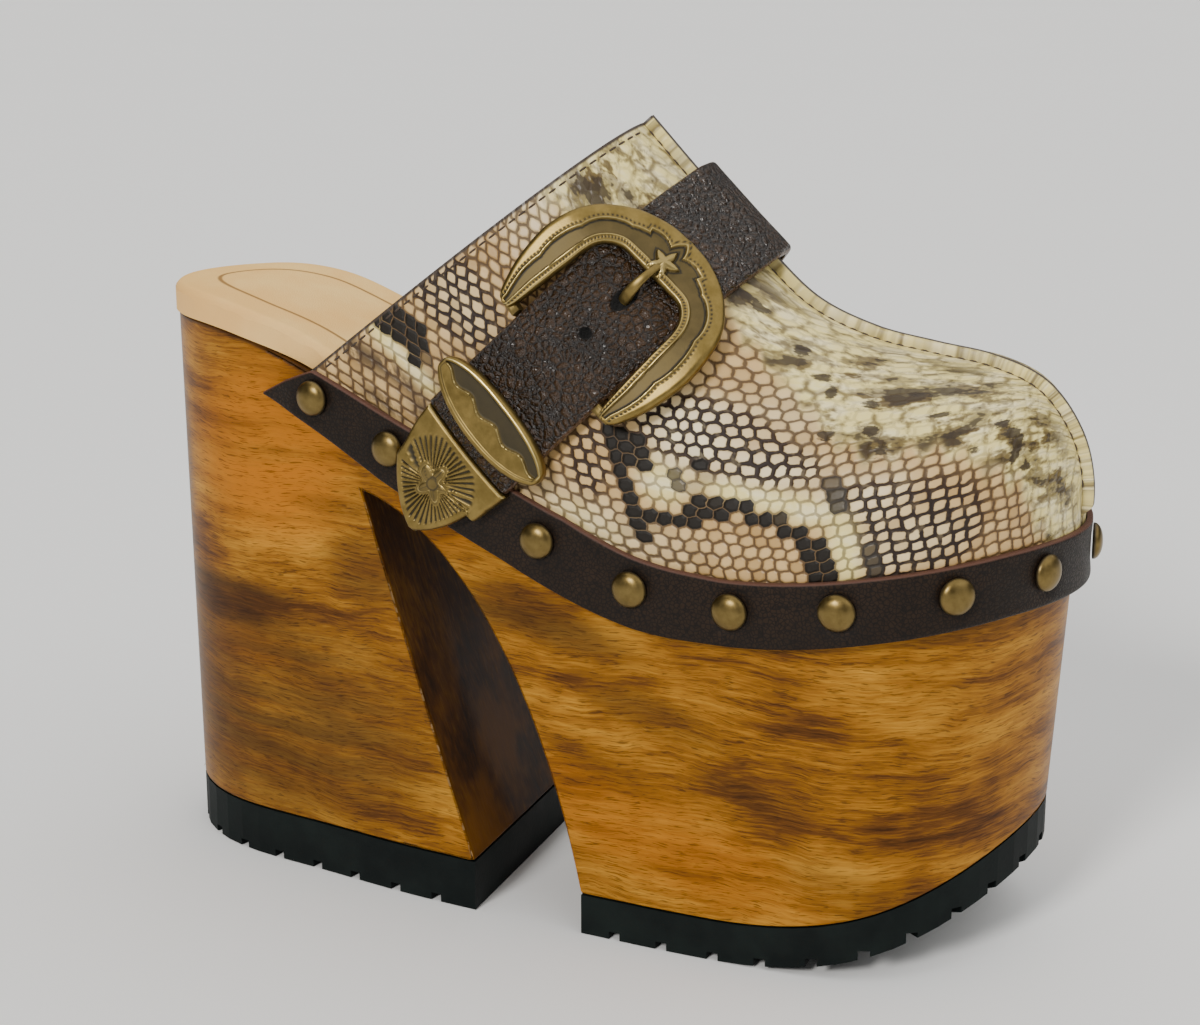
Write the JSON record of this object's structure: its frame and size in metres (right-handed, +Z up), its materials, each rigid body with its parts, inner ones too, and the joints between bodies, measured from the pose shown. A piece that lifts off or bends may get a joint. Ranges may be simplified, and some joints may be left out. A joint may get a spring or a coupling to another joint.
{
  "type": "platform clog",
  "caption": "Platform clog with a high block heel, a notched wooden sole on lugged rubber treads, a studded rand, an open-backed leather upper and an instep strap with a western buckle.",
  "frame": {"origin": "middle of the bounding box's base, on the floor", "axes": "+X towards the toe, +Y towards the inner side of the foot, +Z up"},
  "size_m": [0.2524, 0.1092, 0.204],
  "materials": {
    "varnished_wood": "gloss varnish",
    "black_rubber": "matte",
    "insole_leather": "matte",
    "printed_leather": "semi-gloss scale print",
    "band_leather": "satin",
    "strap_leather": "satin",
    "aged_brass": "antiqued"
  },
  "bodies": {
    "root": {"sole_block": "varnished_wood", "heel_tread": "black_rubber", "front_tread": "black_rubber", "insole": "insole_leather", "upper": "printed_leather", "rand_band": "band_leather", "stud_1": "aged_brass", "stud_2": "aged_brass", "stud_3": "aged_brass", "stud_4": "aged_brass", "stud_5": "aged_brass", "stud_6": "aged_brass", "stud_7": "aged_brass", "stud_8": "aged_brass", "stud_9": "aged_brass", "stud_10": "aged_brass", "stud_11": "aged_brass", "stud_12": "aged_brass", "stud_13": "aged_brass", "stud_14": "aged_brass", "stud_15": "aged_brass", "stud_16": "aged_brass", "stud_17": "aged_brass", "strap": "strap_leather", "billet": "strap_leather", "buckle_frame": "aged_brass", "buckle_prong": "aged_brass", "keeper": "aged_brass", "strap_tip": "aged_brass"}
  },
  "joints": []
}
